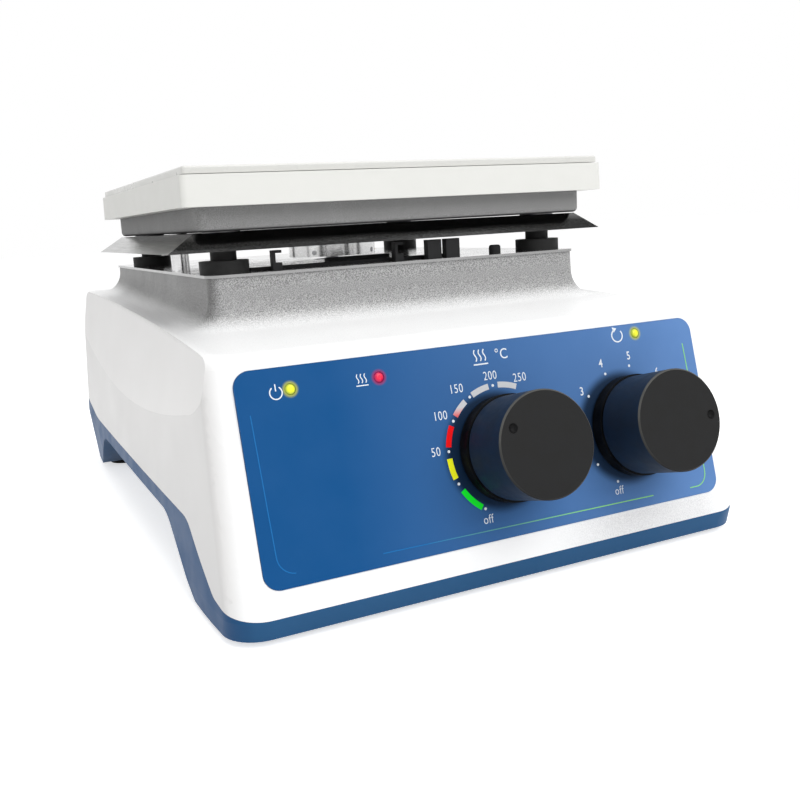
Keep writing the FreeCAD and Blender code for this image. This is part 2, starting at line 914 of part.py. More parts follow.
# Deck and the pieces that stand on it
def deck_plate():
    sheet = rounded_block(deck_half, deck_front_y, deck_rear_y, deck_corner, deck_under_z, deck_z)
    sheet = sheet.cut(post(deck_hole_r, deck_under_z - 1, deck_z + 1))
    for x, y in spacer_spots:
        sheet = sheet.cut(post(plate_screw_r + screw_clearance, deck_under_z - 1, deck_z + 1, x, y))
    sheet = sheet.cut(post(probe_r / 2 + screw_clearance, deck_under_z - 1, deck_z + 1, probe_x, probe_y))
    rod_hole_r = rod_bore_r + rod_wall + rod_hole_gap
    return sheet.cut(post(rod_hole_r, deck_under_z - 1, deck_z + 1, rod_x, rod_y))


def plate_spacers():
    spacers = []
    for x, y in spacer_spots:
        foot = post(spacer_foot_r, deck_z, deck_z + spacer_foot, x, y)
        neck = post(spacer_neck_r, deck_z, tray_under_z, x, y)
        bore = post(plate_screw_r + screw_clearance, deck_z - 1, tray_under_z + 1, x, y)
        spacers.append(joined([foot, neck]).cut(bore))
    return spacers


def tray_washers():
    return [post(washer_r, tray_top_z, pan_bottom_z, x, y).cut(
        post(plate_screw_r + screw_clearance, tray_top_z - 1, pan_bottom_z + 1, x, y))
        for x, y in spacer_spots]


def plate_screws():
    screws = []
    end_z = pan_bottom_z + pan_sheet + plate_nut + screw_past_nut
    for x, y in spacer_spots:
        head = post(screw_head_r, deck_under_z - screw_head, deck_under_z, x, y)
        screws.append(joined([head, post(plate_screw_r, deck_under_z - 1, end_z, x, y)]))
    return screws


def plate_nuts():
    z0 = pan_bottom_z + pan_sheet
    return [hexagon(plate_nut_r, z0, z0 + plate_nut, x, y).cut(post(plate_screw_r, z0 - 1, z0 + 5, x, y))
            for x, y in spacer_spots]


def temperature_probe():
    barrel = post(probe_r, deck_z, pan_bottom_z - seat_gap, probe_x, probe_y)
    stem = post(probe_r / 2, deck_under_z - probe_stem, deck_z + 1, probe_x, probe_y)
    return joined([barrel, stem])


def terminal_posts():
    y0 = post_y - post_depth / 2
    return [block(x - post_width / 2, x + post_width / 2, y0, y0 + post_depth, deck_z, deck_z + post_height)
            for x in (post_x, post_x + post_pitch)]


def deck_plug():
    plug = post(nub_r, deck_z, deck_z + nub_height, nub_x, nub_y)
    top = [edge for edge in plug.Edges if abs(edge.BoundBox.ZMin - deck_z - nub_height) < 0.01]
    return plug.makeFillet(nub_round, top)


def sensor_bar():
    bar = block(bar_x - bar_length / 2, bar_x + bar_length / 2, bar_y - bar_width / 2, bar_y + bar_width / 2,
                deck_z, deck_z + bar_height)
    ends = [edge for edge in bar.Edges if edge.BoundBox.ZLength > bar_height - 0.1]
    return bar.makeFillet(bar_end_round, ends)


def lead_clips():
    """Two open clips with a foot, a thin arm and a short hook."""
    clips = []
    y0 = clip_y - clip_length / 2
    y1 = y0 + clip_length
    top = deck_z + clip_height
    for x in (clip_left_x, clip_right_x):
        x0 = x - clip_width / 2
        x1 = x0 + clip_width
        foot = block(x0, x1, y0, y1, deck_z, deck_z + clip_foot)
        arm = block(x0, x0 + clip_arm, y0, y1, deck_z, top)
        hook = block(x0, x1, y0, y1, top - clip_arm, top)
        clips.append(joined([foot, arm, hook]))
    return clips


def probe_lead():
    return block(lead_start_x, lead_end_x, lead_y - lead_width / 2, lead_y + lead_width / 2,
                 deck_z, deck_z + lead_thick)


def rod_socket():
    """Threaded insert that comes up through the deck, with a flange under it."""
    body = post(rod_bore_r + rod_wall, deck_z - rod_bore - rod_end, deck_z, rod_x, rod_y)
    flange = post(rod_flange_r, deck_under_z - rod_flange, deck_under_z, rod_x, rod_y)
    return joined([body, flange]).cut(post(rod_bore_r, deck_z - rod_bore, deck_z + 1, rod_x, rod_y))


# Hot plate, from the top down
def top_plate():
    lip_z = plate_top_z - plate_lip
    half = plate_half - plate_inset
    lip = rounded_block(half, -half, half, plate_corner - 1, lip_z, plate_top_z)
    top = [edge for edge in lip.Edges if edge.BoundBox.ZMin > plate_top_z - 0.01]
    lip = lip.makeFillet(plate_edge_round, top)
    inner = plate_half - skirt_wall - skirt_flare - side_gap
    return joined([lip, rounded_block(inner, -inner, inner, plate_corner - 1, spigot_z, lip_z)])


def plate_skirt():
    """Square frame with an inner ledge that the heater pan hangs from."""
    top_half = plate_half - skirt_flare
    low = rounded_rectangle(plate_half, -plate_half, plate_half, plate_corner, skirt_low_z)
    high = rounded_rectangle(top_half, -top_half, top_half, plate_corner, skirt_top_z)
    frame = Part.makeLoft([low, high], True, True)
    inner = top_half - skirt_wall
    frame = frame.cut(rounded_block(inner, -inner, inner, plate_corner - 1, skirt_low_z + skirt_ledge,
                                    skirt_top_z + 1))
    hole = pan_half + side_gap
    return frame.cut(rounded_block(hole, -hole, hole, pan_corner + side_gap, skirt_low_z - 1, skirt_top_z))


def heater_pan():
    top_z = pan_lip_z + pan_lip
    tub = rounded_block(pan_half, -pan_half, pan_half, pan_corner, pan_bottom_z, top_z)
    bottom = [edge for edge in tub.Edges if edge.BoundBox.ZMax < pan_bottom_z + 0.01]
    tub = tub.makeFillet(pan_bend, bottom)
    lip_half = plate_half - skirt_flare - skirt_wall - side_gap
    lip = rounded_block(lip_half, -lip_half, lip_half, pan_corner, pan_lip_z, top_z)
    inner = pan_half - pan_sheet
    hollow = rounded_block(inner, -inner, inner, pan_corner - pan_sheet, pan_bottom_z + pan_sheet, top_z + 1)
    pan = joined([tub, lip]).cut(hollow)
    for x, y in spacer_spots:
        pan = pan.cut(post(plate_screw_r + screw_clearance, pan_bottom_z - 1, top_z, x, y))
    return pan


def insulation_pad():
    half = pan_half - pan_sheet - side_gap
    pad = rounded_block(half, -half, half, pan_corner - pan_sheet, pan_bottom_z + pan_sheet,
                        card_z - seat_gap)
    room_z = pan_bottom_z + pan_sheet + plate_nut + screw_past_nut + nut_room
    for x, y in spacer_spots:
        pad = pad.cut(post(plate_nut_r + nut_room, pan_bottom_z, room_z, x, y))
    return pad


def heater_card():
    half = pan_half - pan_sheet - side_gap
    return rounded_block(half, -half, half, card_corner, card_z, element_z)


def heating_element():
    """Flat ribbon that runs to and fro across the card."""
    reach = pan_half - element_margin
    first = -element_pitch * (element_rows - 1) / 2
    half = element_width / 2
    ribbon = []
    for i in range(element_rows):
        y = first + i * element_pitch
        ribbon.append(block(-reach, reach, y - half, y + half, element_z, element_z + element_thick))
        if i + 1 < element_rows:
            x = reach - element_width if i % 2 else -reach
            ribbon.append(block(x, x + element_width, y - half, y + element_pitch + half,
                                element_z, element_z + element_thick))
    return joined(ribbon)


def spill_tray():
    """Bright sheet under the pan whose four edges flare down and outward, drawn past them and cut."""
    low_z = tray_top_z - tray_drop

    def frustum(shrink, drop):
        grow = tray_past * tray_drop
        low_x = tray_half_x + tray_flare_x * grow / tray_drop - shrink
        low_y = tray_half_y + tray_flare_y * grow / tray_drop - shrink
        low = rounded_rectangle(low_x, -low_y, low_y, 0, tray_top_z - grow - drop)
        high = rounded_rectangle(tray_half_x - shrink, shrink - tray_half_y, tray_half_y - shrink, 0,
                                 tray_top_z - drop)
        return Part.makeLoft([low, high], True, True)

    keep = block(-far, far, -far, far, low_z, tray_top_z + 1)
    sheet = frustum(0.0, 0.0).cut(frustum(tray_sheet / 2, tray_sheet)).common(keep)
    for x, y in spacer_spots:
        sheet = sheet.cut(post(plate_screw_r + screw_clearance, tray_under_z - 1, tray_top_z + 1, x, y))
    return sheet.cut(post(probe_r + side_gap, tray_under_z - 1, tray_top_z + 1, probe_x, probe_y))


# Power supply
def power_board():
    board = block(supply_left, supply_right, supply_front, supply_rear, supply_z, supply_top_z)
    for x, y in supply_spots:
        board = board.cut(post(supply_screw_r + screw_clearance, supply_z - 1, supply_top_z + 1, x, y))
    return board


def board_screws():
    screws = []
    for x, y in supply_spots:
        head = post(supply_head_r, supply_top_z, supply_top_z + supply_head, x, y)
        shank = post(supply_screw_r, base_inside_z + supply_screw_end, supply_top_z + 1, x, y)
        screws.append(joined([head, shank]))
    return screws


def centred_block(x, y, width, length, z0, z1):
    return block(x - width / 2, x + width / 2, y - length / 2, y + length / 2, z0, z1)


def transformer_core():
    z0 = supply_top_z
    core = centred_block(transformer_x, transformer_y, core_width, core_length, z0, z0 + core_height)
    window_z = z0 + (core_height - coil_height) / 2
    return core.cut(centred_block(transformer_x, transformer_y, coil_width, coil_length,
                                  window_z, window_z + coil_height))


def transformer_coil():
    window_z = supply_top_z + (core_height - coil_height) / 2
    return centred_block(transformer_x, transformer_y, coil_width, coil_length,
                         window_z, window_z + coil_height)


def heater_relay():
    return centred_block(relay_x, relay_y, relay_width, relay_length,
                         supply_top_z, supply_top_z + relay_height)


# Mains inlet with its fuse drawer
def along_y(x, z, width, height, y0, y1):
    return block(x - width / 2, x + width / 2, y0, y1, z - height / 2, z + height / 2)


def socket_cavity():
    """Six-sided opening: two of its corners are cut off."""
    half = socket_width / 2
    low = inlet_z - socket_drop - socket_height / 2
    high = low + socket_height
    y0 = rear_y + inlet_flange - socket_depth
    corners = [(-half, low), (half, low), (half, high - socket_chamfer), (half - socket_chamfer, high),
               (-half + socket_chamfer, high), (-half, high - socket_chamfer), (-half, low)]
    outline = Part.makePolygon([V(inlet_x + a, y0, b) for a, b in corners])
    return Part.Face(outline).extrude(V(0, socket_depth + 1, 0))


def drawer_seat_y():
    return rear_y + inlet_flange - drawer_depth


def mains_inlet():
    body = along_y(inlet_x, inlet_z, inlet_width - 2 * inlet_gap, inlet_height - 2 * inlet_gap,
                   rear_y + inlet_flange - inlet_depth, rear_y + 1)
    edge = 2 * inlet_flange_edge
    flange = along_y(inlet_x, inlet_z, inlet_width + edge, inlet_height + edge, rear_y, rear_y + inlet_flange)
    corners = [e for e in flange.Edges if e.BoundBox.YLength > inlet_flange - 0.1]
    flange = flange.makeFillet(inlet_flange_round, corners)
    shell = joined([body, flange]).cut(socket_cavity())
    seat = along_y(inlet_x, inlet_z + drawer_rise, drawer_width + 2 * drawer_gap,
                   drawer_height + 2 * drawer_gap, drawer_seat_y() - drawer_gap, rear_y + clear)
    return shell.cut(seat)


def inlet_pins():
    y0 = rear_y + inlet_flange - socket_depth
    z = inlet_z - socket_drop
    pins = []
    for x, up in ((-pin_pitch, -pin_stagger), (0.0, pin_stagger), (pin_pitch, -pin_stagger)):
        pins.append(along_y(inlet_x + x, z + up, pin_width, pin_height, y0, y0 + pin_length))
    return pins


def fuse_drawer():
    """Drawer that pulls straight out to the back, with two open troughs for the fuses."""
    face_y = rear_y + inlet_flange + drawer_lift
    z = inlet_z + drawer_rise
    body = along_y(inlet_x, z, drawer_width, drawer_height, drawer_seat_y(), face_y)
    face = along_y(inlet_x, z, drawer_width + 2 * (drawer_face_edge + drawer_grip),
                   drawer_height + 2 * drawer_face_edge, face_y, face_y + drawer_face)
    drawer = joined([body, face])
    floor_z = z - drawer_height / 2 + drawer_floor
    half = fuse_length / 2 + fuse_room
    for y in fuse_ys():
        drawer = drawer.cut(block(inlet_x - half, inlet_x + half, y - fuse_r, y + fuse_r,
                                  floor_z, z + drawer_height))
    return drawer


def fuse_ys():
    first = drawer_seat_y() + drawer_end + fuse_r
    return [first, first + fuse_pitch]


def fuses():
    z = inlet_z + drawer_rise - drawer_height / 2 + drawer_floor + fuse_r
    return [Part.makeCylinder(fuse_r, fuse_length, V(inlet_x - fuse_length / 2, y, z), V(1, 0, 0))
            for y in fuse_ys()]


def save(name, shapes):
    """Write one piece, or a group of separate solids of one kind, shifted into the part's frame."""
    solids = []
    for shape in shapes if isinstance(shapes, list) else [shapes]:
        solids.extend(shape.Solids)
    result = solids[0] if len(solids) == 1 else Part.makeCompound(solids)
    result = result.copy()
    result.translate(V(0, axis_y, 0))
    result.exportStep("parts/" + name + ".step")


pieces = {
    "top_plate": top_plate,
    "plate_skirt": plate_skirt,
    "heating_element": heating_element,
    "heater_card": heater_card,
    "insulation_pad": insulation_pad,
    "heater_pan": heater_pan,
    "spill_tray": spill_tray,
    "tray_washers": tray_washers,
    "plate_spacers": plate_spacers,
    "plate_screws": plate_screws,
    "plate_nuts": plate_nuts,
    "temperature_probe": temperature_probe,
    "terminal_posts": terminal_posts,
    "deck_plug": deck_plug,
    "sensor_bar": sensor_bar,
    "lead_clip": lead_clips,
    "probe_lead": probe_lead,
    "deck_plate": deck_plate,
    "rod_socket": rod_socket,
    "upper_housing": upper_housing,
    "lower_housing": lower_housing,
    "foot_pads": foot_pads,
    "housing_screws": housing_screws,
    "control_panel": control_panel,
    "power_lamp": lambda: lamp(power_lamp_x, lamp_up),
    "hot_lamp": lambda: lamp(hot_lamp_x, lamp_up),
    "stir_lamp": lambda: lamp(stir_lamp_x, stir_lamp_up),
    "heat_knob": lambda: knob(heat_x, heat_pointer),
    "stir_knob": lambda: knob(stir_x, stir_pointer),
    "heat_shaft": lambda: control_shaft(heat_x, heat_pointer),
    "stir_shaft": lambda: control_shaft(stir_x, stir_pointer),
    "heat_potentiometer": lambda: potentiometer(heat_x),
    "stir_potentiometer": lambda: potentiometer(stir_x),
    "control_nuts": pot_nuts,
    "control_board": control_board,
    "motor_can": motor_can,
    "shaft_bearings": shaft_bearings,
    "motor_stator": motor_stator,
    "motor_rotor": motor_rotor,
    "motor_shaft": motor_shaft,
    "motor_pillars": motor_pillars,
    "magnet_carrier": magnet_carrier,
    "drive_magnets": drive_magnets,
    "grub_screws": grub_screws,
    "power_board": power_board,
    "board_screws": board_screws,
    "transformer_core": transformer_core,
    "transformer_coil": transformer_coil,
    "heater_relay": heater_relay,
    "mains_inlet": mains_inlet,
    "inlet_pins": inlet_pins,
    "fuse_drawer": fuse_drawer,
    "fuses": fuses,
}

for node, make in pieces.items():
    save(node, make())
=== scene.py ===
import bpy
import math
from mathutils import Matrix, Vector
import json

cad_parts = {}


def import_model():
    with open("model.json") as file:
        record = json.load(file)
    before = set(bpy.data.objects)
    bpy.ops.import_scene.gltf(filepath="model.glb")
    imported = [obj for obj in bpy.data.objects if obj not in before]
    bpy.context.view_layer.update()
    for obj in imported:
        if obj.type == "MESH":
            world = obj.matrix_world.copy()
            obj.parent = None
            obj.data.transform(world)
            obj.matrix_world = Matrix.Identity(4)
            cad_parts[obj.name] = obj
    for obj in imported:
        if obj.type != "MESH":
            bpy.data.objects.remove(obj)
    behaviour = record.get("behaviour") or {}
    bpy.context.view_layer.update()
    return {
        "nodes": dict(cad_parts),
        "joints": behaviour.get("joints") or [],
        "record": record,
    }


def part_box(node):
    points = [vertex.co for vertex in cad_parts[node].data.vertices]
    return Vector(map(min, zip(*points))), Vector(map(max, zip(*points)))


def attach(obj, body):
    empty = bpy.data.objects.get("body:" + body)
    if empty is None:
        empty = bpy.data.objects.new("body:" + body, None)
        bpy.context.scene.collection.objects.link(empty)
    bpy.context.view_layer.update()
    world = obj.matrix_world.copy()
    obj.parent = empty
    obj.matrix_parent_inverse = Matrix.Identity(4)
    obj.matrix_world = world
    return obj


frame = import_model()

MM = 0.001
BODY = "stirrer"

# Stirring axis, tray and panel, taken from the frame
joints = {joint["name"]: joint for joint in frame["joints"]}
drum_low, drum_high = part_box("magnet_carrier")
axis_y = (drum_low[1] + drum_high[1]) / 2
tray_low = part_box("spill_tray")[0][2]
heat_centre = Vector(joints["heat_turn"]["pos_m"])
stir_centre = Vector(joints["stir_turn"]["pos_m"])
panel_normal = -Vector(joints["heat_turn"]["axis"]).normalized()
panel_right = Vector((1, 0, 0))
panel_up = panel_normal.cross(panel_right)

# The overlay stands proud of the controls' origin, and ink lies on it
panel_proud = 0.3 * MM
ink = 0.05 * MM
# Both controls sit this far up the slope from the panel's middle, in mm
knob_up = -3.1

# Camera fitted to the photograph: place in mm from the stirring axis, angles in degrees
camera_place = (-135.99, -343.4, 105.51)
camera_azimuth = 25.297
camera_drop = 11.142
camera_roll = 3.179
camera_lens = 41.08


# Materials
def colour_of(levels):
    """Linear colour of an sRGB triple from 0 to 255."""
    def linear(level):
        c = level / 255
        return c / 12.92 if c <= 0.04045 else ((c + 0.055) / 1.055) ** 2.4
    return tuple(linear(level) for level in levels)


class Finish:
    """A procedural material built up from a shader and the detail that is added to it."""

    def __init__(self, name, levels, roughness, metallic=0.0, coat=0.0, specular=0.5):
        self.material = bpy.data.materials.new(name)
        self.material.use_nodes = True
        self.tree = self.material.node_tree
        self.shader = self.tree.nodes["Principled BSDF"]
        self.colour = colour_of(levels)
        self.roughness = roughness
        self.set("Base Color", (*self.colour, 1))
        self.set("Roughness", roughness)
        self.set("Metallic", metallic)
        self.set("Coat Weight", coat)
        self.set("Specular IOR Level", specular)
        self.where = self.tree.nodes.new("ShaderNodeTexCoord").outputs["Object"]
        self.tint = None

    def set(self, socket, value):
        self.shader.inputs[socket].default_value = value

    def link(self, source, target):
        self.tree.links.new(source, target)

    def noise(self, size_mm, detail=3.0, squeeze=None):
        """Noise with grains about size_mm across; squeeze makes them thinner by so much per axis."""
        texture = self.tree.nodes.new("ShaderNodeTexNoise")
        texture.inputs["Scale"].default_value = 1 / (size_mm * MM)
        texture.inputs["Detail"].default_value = detail
        source = self.where
        if squeeze:
            mapping = self.tree.nodes.new("ShaderNodeMapping")
            mapping.inputs["Scale"].default_value = squeeze
            self.link(source, mapping.inputs["Vector"])
            source = mapping.outputs["Vector"]
        self.link(source, texture.inputs["Vector"])
        return texture.outputs["Fac"]

    def ramp(self, source, low, high, low_value, high_value, smooth=False):
        """Go from low_value to high_value while the source goes from low to high."""
        node = self.tree.nodes.new("ShaderNodeMapRange")
        node.interpolation_type = "SMOOTHSTEP" if smooth else "LINEAR"
        node.inputs["From Min"].default_value = low
        node.inputs["From Max"].default_value = high
        node.inputs["To Min"].default_value = low_value
        node.inputs["To Max"].default_value = high_value
        self.link(source, node.inputs["Value"])
        return node.outputs["Result"]

    def math(self, operation, *values):
        """One step of arithmetic on sockets or numbers."""
        node = self.tree.nodes.new("ShaderNodeMath")
        node.operation = operation
        for socket, value in zip(node.inputs, values):
            if isinstance(value, (int, float)):
                socket.default_value = value
            else:
                self.link(value, socket)
        return node.outputs["Value"]

    def part_of(self, source, letter):
        node = self.tree.nodes.new("ShaderNodeSeparateXYZ")
        self.link(source, node.inputs["Vector"])
        return node.outputs[letter]

    def axis(self, letter):
        """Place on the part along X, Y or Z."""
        return self.part_of(self.where, letter)

    def measure(self, operation, source, vector):
        """Dot product with a vector, or distance from it."""
        node = self.tree.nodes.new("ShaderNodeVectorMath")
        node.operation = operation
        node.inputs[1].default_value = vector
        self.link(source, node.inputs[0])
        return node.outputs["Value"]

    def away_from(self, middle):
        """Distance from a point of the part, in metres."""
        return self.measure("DISTANCE", self.where, middle)

    def above_panel(self):
        """Height over the control panel, in metres."""
        height = self.measure("DOT_PRODUCT", self.where, panel_normal)
        return self.math("SUBTRACT", height, heat_centre.dot(panel_normal))

    def out_of_panel(self):
        """How far each flat face looks away from the control panel, from -1 to 1."""
        geometry = self.tree.nodes.new("ShaderNodeNewGeometry")
        return self.measure("DOT_PRODUCT", geometry.outputs["True Normal"], panel_normal)

    def facing(self, letter):
        """How far the smooth surface faces along X, Y or Z, from -1 to 1."""
        geometry = self.tree.nodes.new("ShaderNodeNewGeometry")
        return self.part_of(geometry.outputs["Normal"], letter)

    def blend(self, factor, levels):
        """Lay another colour over the base by a factor from 0 to 1."""
        node = self.tree.nodes.new("ShaderNodeMix")
        node.data_type = "RGBA"
        if self.tint is None:
            node.inputs[6].default_value = (*self.colour, 1)
        else:
            self.link(self.tint, node.inputs[6])
        node.inputs[7].default_value = (*colour_of(levels), 1)
        self.link(factor, node.inputs[0])
        self.tint = node.outputs[2]
        self.link(self.tint, self.shader.inputs["Base Color"])
        return self

    def mottle(self, size_mm, amount, levels, detail=3.0, squeeze=None):
        """Uneven colour: noise lays a second colour over the first."""
        patches = self.noise(size_mm, detail, squeeze)
        return self.blend(self.ramp(patches, 0.35, 0.65, 0.0, amount), levels)

    def uneven_gloss(self, size_mm, spread, squeeze=None):
        """Uneven roughness, by up to spread either way."""
        low = max(self.roughness - spread, 0.02)
        value = self.ramp(self.noise(size_mm, 4.0, squeeze), 0.3, 0.7, low, self.roughness + spread)
        self.link(value, self.shader.inputs["Roughness"])
        return self

    def bump(self, size_mm, height_mm, strength, squeeze=None):
        """Fine grain or brushing in the surface."""
        node = self.tree.nodes.new("ShaderNodeBump")
        node.inputs["Strength"].default_value = strength
        node.inputs["Distance"].default_value = height_mm * MM
        self.link(self.noise(size_mm, 2.0, squeeze), node.inputs["Height"])
        self.link(node.outputs["Normal"], self.shader.inputs["Normal"])
        return self


def darker(levels, step):
    """Levels lowered by a step, but not below 0."""
    return tuple(max(level - step, 0) for level in levels)


def plate_white():
    """Smooth ceramic plate whose upright edge has painted shade, a little darker than its top."""
    finish = Finish("plate_white", (220, 220, 217), 0.3, coat=0.15, specular=0.3)
    finish.mottle(14, 0.25, (213, 213, 209))
    # Painted shade: faces that stand upright are painted darker than the top
    edge = finish.ramp(finish.facing("Z"), 0.2, 0.9, 0.8, 0.0)
    finish.blend(edge, (210, 210, 206))
    return finish.uneven_gloss(20, 0.06).bump(1.2, 0.03, 0.3)


def skirt_white():
    finish = Finish("skirt_white", (223, 223, 219), 0.45, specular=0.3)
    finish.mottle(9, 0.3, (217, 218, 213))
    return finish.uneven_gloss(8, 0.06).bump(0.9, 0.02, 0.35)


def pan_grey():
    """Grainy grey pan whose underside has near-black painted shade."""
    finish = Finish("pan_grey", (160, 160, 160), 0.7, specular=0.2)
    finish.mottle(0.22, 1.0, (100, 100, 100), detail=2.0).mottle(12, 0.3, (126, 126, 126))
    # Painted shade: faces that look down are painted near-black
    under = finish.ramp(finish.facing("Z"), -0.8, -0.5, 1.0, 0.0)
    finish.blend(under, (34, 34, 35))
    return finish.uneven_gloss(4, 0.08).bump(0.5, 0.04, 0.5)


def tray_bright():
    """Polished sheet with painted reflections and shade: a dark flat top in painted shade, a dark
    front flange whose painted reflection is paler by its fold, a grey left flange in painted
    reflection, and a painted highlight on faces that look down.
    """
    finish = Finish("tray_bright", (168, 168, 166), 0.14, metallic=1.0)
    finish.mottle(30, 0.3, (140, 140, 139), squeeze=(1, 1, 6))
    # Painted reflection: the front flange is painted grey, and near-black below a band near its foot
    front = finish.ramp(finish.facing("Y"), -0.8, -0.6, 1.0, 0.0)
    finish.blend(front, (116, 116, 116)).mottle(0.3, 0.6, (92, 92, 92), detail=2.0)
    band_low, band_high = tray_low + 3.2 * MM, tray_low + 5.0 * MM
    dark_reflection_band = finish.ramp(finish.axis("Z"), band_high, band_low, 0.0, 1.0)
    finish.blend(finish.math("MULTIPLY", front, dark_reflection_band), (34, 34, 34))
    # Painted reflection: the left flange is painted a darker grey
    left = finish.ramp(finish.facing("X"), -0.7, -0.3, 1.0, 0.0)
    finish.blend(left, (88, 88, 87)).mottle(0.4, 0.3, (108, 108, 108), detail=2.0)
    # Painted shade: the flat top, under the pan, is painted near-black
    flat_top = finish.ramp(finish.facing("Z"), 0.8, 0.95, 0.0, 1.0)
    finish.blend(flat_top, (44, 44, 44))
    # Painted highlight: faces that look down are painted near-white
    downward_highlight = finish.ramp(finish.facing("Z"), -0.3, -0.5, 0.0, 1.0)
    finish.blend(downward_highlight, (236, 236, 236))
    finish.uneven_gloss(5, 0.05, squeeze=(0.2, 0.2, 8))
    return finish.bump(1.5, 0.01, 0.2, squeeze=(0.3, 0.3, 6))


def black_moulding(name, levels=(34, 34, 35), roughness=0.5):
    """Matt black plastic with faint paler patches."""
    finish = Finish(name, levels, roughness, specular=0.12)
    finish.mottle(3, 0.35, tuple(level + 8 for level in levels))
    return finish.uneven_gloss(2.5, 0.08).bump(0.5, 0.02, 0.4)


def knob_black():
    """Moulded knob: black painted shade round its foot, blue-black sides with a painted reflection of
    the panel, a painted highlight on the bevelled edge and a plain dark face with painted shade in its
    hollow.
    """
    # The blue-black base colour of the sides is a painted reflection of the blue panel
    finish = Finish("knob_black", (29, 42, 60), 0.45, specular=0.08)
    skirt_top, knob_top = 5.3 * MM, 22.0 * MM
    height = finish.above_panel()
    outward = finish.out_of_panel()
    # Painted shade: black where the knob stands nearest the panel
    skirt_shade = finish.ramp(height, skirt_top - 0.1 * MM, skirt_top + 0.1 * MM, 1.0, 0.0)
    finish.blend(skirt_shade, (5, 6, 8))
    near_top = finish.ramp(height, knob_top - 1.1 * MM, knob_top - 1.0 * MM, 0.0, 1.0)
    face = finish.math("MULTIPLY", near_top, finish.ramp(outward, 0.2, 0.3, 0.0, 1.0))
    finish.blend(face, (36, 36, 36))
    # Painted shade: the hollow of the face is painted darker with depth
    sunk = finish.ramp(height, knob_top - 0.05 * MM, knob_top - 0.3 * MM, 0.0, 0.8)
    dimple_shade = finish.math("MULTIPLY", face, sunk)
    finish.blend(dimple_shade, (12, 12, 12))
    # Painted highlight on the bevelled edge, which looks out at 45 degrees; the highlight is stronger
    # where light from above reaches it
    past_side = finish.ramp(outward, 0.66, 0.69, 0.0, 1.0)
    short_of_face = finish.ramp(outward, 0.73, 0.76, 1.0, 0.0)
    at_edge = finish.ramp(height, knob_top - 0.5 * MM, knob_top - 0.45 * MM, 0.0, 1.0)
    from_above = finish.ramp(finish.facing("Z"), -0.45, 0.4, 0.05, 0.9)
    bevel_highlight = finish.math("MULTIPLY", past_side, short_of_face)
    bevel_highlight = finish.math("MULTIPLY", finish.math("MULTIPLY", bevel_highlight, at_edge), from_above)
    finish.blend(bevel_highlight, (84, 84, 82)).mottle(5, 0.25, (39, 40, 42))
    return finish.uneven_gloss(3, 0.05).bump(0.35, 0.012, 0.5)


def plain_metal(name, levels, roughness, grain=(1, 1, 14)):
    """Metal with fine marks across Z, as turning or rolling leaves them."""
    finish = Finish(name, levels, roughness, metallic=1.0)
    finish.mottle(3, 0.3, darker(levels, 22), squeeze=grain)
    return finish.uneven_gloss(2, 0.08, squeeze=grain).bump(1.0, 0.01, 0.3, squeeze=grain)


def deck_bright():
    """Bright polished deck whose upright edge has grey painted shade, as the neck under it has."""
    finish = Finish("deck_bright", (222, 222, 222), 0.16, metallic=1.0)
    finish.mottle(25, 0.5, (196, 196, 196))
    # Painted shade: the upright edge is painted grey
    edge = finish.ramp(finish.facing("Z"), 0.3, 0.6, 1.0, 0.0)
    finish.blend(edge, (150, 150, 150))
    return finish.uneven_gloss(6, 0.05).bump(4.0, 0.03, 0.2)


def shade_flanks(finish):
    """Grey painted shade on the sides, a step darker below the scooped facets, where they stand
    upright.
    """
    sideways = finish.math("ABSOLUTE", finish.facing("X"))
    flank_shade = finish.ramp(sideways, 0.55, 0.97, 0.0, 1.0)
    finish.blend(flank_shade, (234, 233, 232))
    upright = finish.ramp(finish.facing("Z"), 0.1, 0.16, 1.0, 0.0)
    finish.blend(finish.math("MULTIPLY", flank_shade, upright), (222, 221, 220))


def knob_shadow_strip(finish):
    """Painted shadow of the knobs, as fine grey grain low on the front, right of the middle."""
    low = finish.ramp(finish.axis("Z"), 14.9 * MM, 13.6 * MM, 0.0, 1.0)
    start = finish.ramp(finish.axis("X"), 2 * MM, 34 * MM, 0.0, 1.0, smooth=True)
    end = finish.ramp(finish.axis("X"), 66 * MM, 82 * MM, 1.0, 0.0, smooth=True)
    grains = finish.ramp(finish.noise(0.35, 2.0), 0.35, 0.65, 0.35, 1.0)
    place = finish.math("MULTIPLY", low, finish.math("MULTIPLY", start, end))
    finish.blend(finish.math("MULTIPLY", grains, place), (222, 222, 223))


def neck_shade(finish):
    """Grey grain of painted shade on the neck under the plate, darker at the left, that thins out on
    the shoulder.
    """
    # The painted shade starts at this height by the stirring axis, and a little higher further back
    shoulder_height, shoulder_rise, fade = 77.8 * MM, 0.034, 4.6 * MM
    depth = finish.math("SUBTRACT", finish.axis("Y"), axis_y)
    shoulder = finish.math("MULTIPLY_ADD", depth, shoulder_rise, shoulder_height)
    above = finish.math("SUBTRACT", finish.axis("Z"), shoulder)
    # Painted shade: the left face is painted darker, and its shade reaches lower
    side = finish.ramp(finish.facing("X"), -0.9, -0.3, 0.65, 0.0)
    speck = finish.noise(0.22, 2.0)
    above = finish.math("ADD", above, finish.math("MULTIPLY", side, 1.0 * MM))
    above = finish.math("ADD", above, finish.ramp(speck, 0.35, 0.65, -1.2 * MM, 1.2 * MM))
    cover = finish.ramp(above, 0.0, fade, 0.0, 1.0)
    grey = finish.math("MULTIPLY", cover, finish.ramp(speck, 0.4, 0.6, 0.6, 1.0))
    finish.blend(grey, (112, 112, 112))
    finish.blend(finish.math("MULTIPLY", grey, side), (50, 50, 50))


